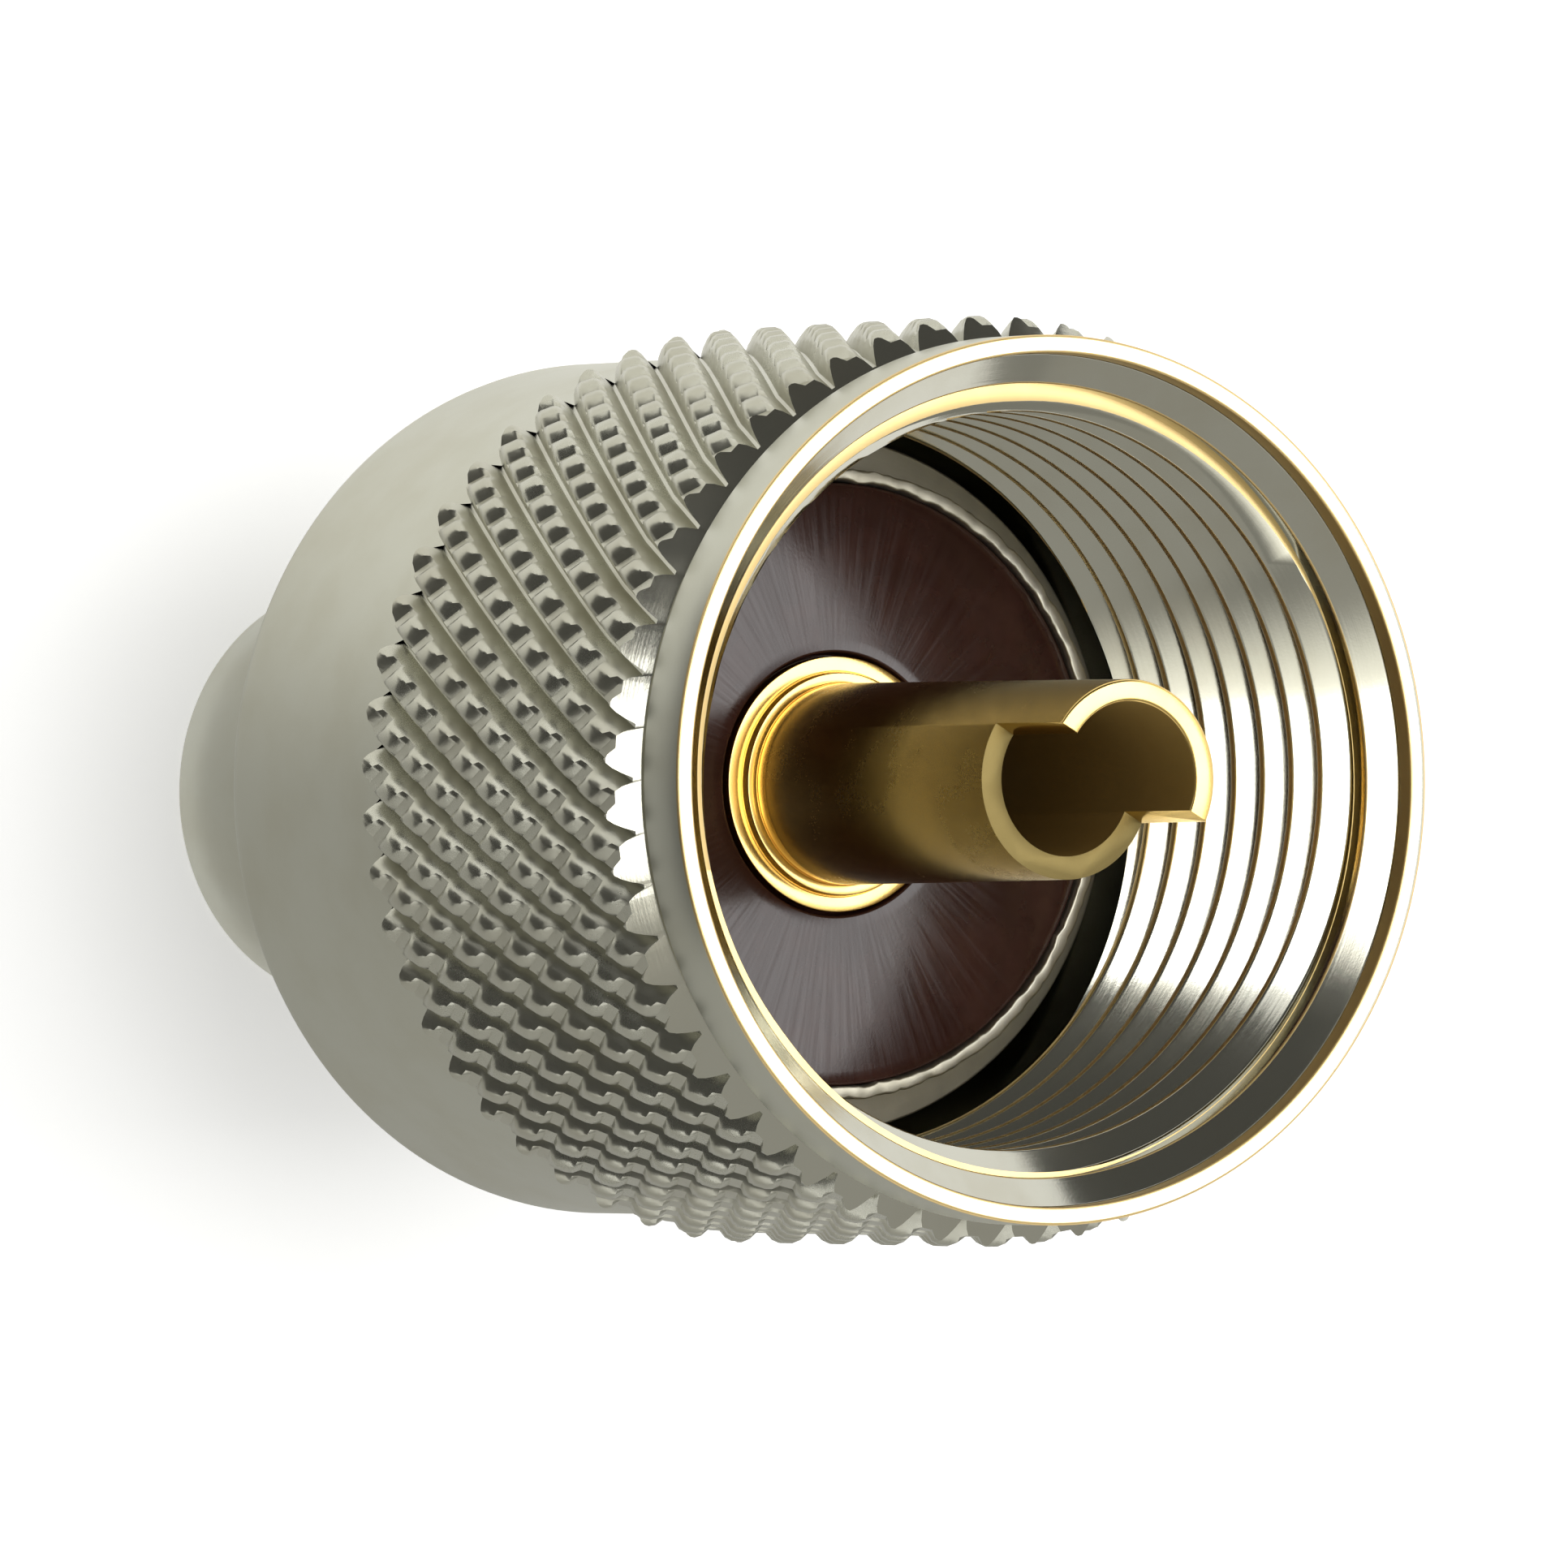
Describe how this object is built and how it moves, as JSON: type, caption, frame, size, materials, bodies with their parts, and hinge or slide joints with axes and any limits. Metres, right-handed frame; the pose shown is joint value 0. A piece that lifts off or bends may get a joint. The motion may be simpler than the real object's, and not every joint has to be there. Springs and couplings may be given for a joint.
{
  "type": "uhf connector",
  "caption": "Crimp-on UHF coaxial plug: a knurled coupling nut that turns and slides on a turned body, with a brown insulator and a hollow gold pin.",
  "frame": {"origin": "centre of the crimp ferrule's cable end, on the plug's axis, where the plug stands", "axes": "+Z along the plug's axis, out of the mouth of the coupling nut; +X and +Y lie across it"},
  "size_m": [0.0186, 0.0186, 0.03],
  "materials": {
    "nut_nickel": "satin nickel plate on brass",
    "body_nickel": "nickel plate on brass",
    "spring_wire": "plain spring steel",
    "insulator_phenolic": "dark brown phenolic, half gloss",
    "pin_gold": "bright gold plate on brass",
    "ferrule_nickel": "satin nickel plate on brass"
  },
  "bodies": {
    "plug_body": {"connector_body": "body_nickel", "insulator": "insulator_phenolic", "center_pin": "pin_gold", "crimp_ferrule": "ferrule_nickel"},
    "ring": {"retaining_ring": "spring_wire"},
    "nut": {"coupling_nut": "nut_nickel"}
  },
  "joints": [
    {"name": "nut_slide", "type": "slide", "parent": "plug_body", "child": "ring", "axis": [0, 0, 1], "range_m": [0, 0.002]},
    {"name": "nut_turn", "type": "hinge", "parent": "ring", "child": "nut", "pos_m": [0, 0, 0.0112], "axis": [0, 0, 1], "continuous": true}
  ]
}
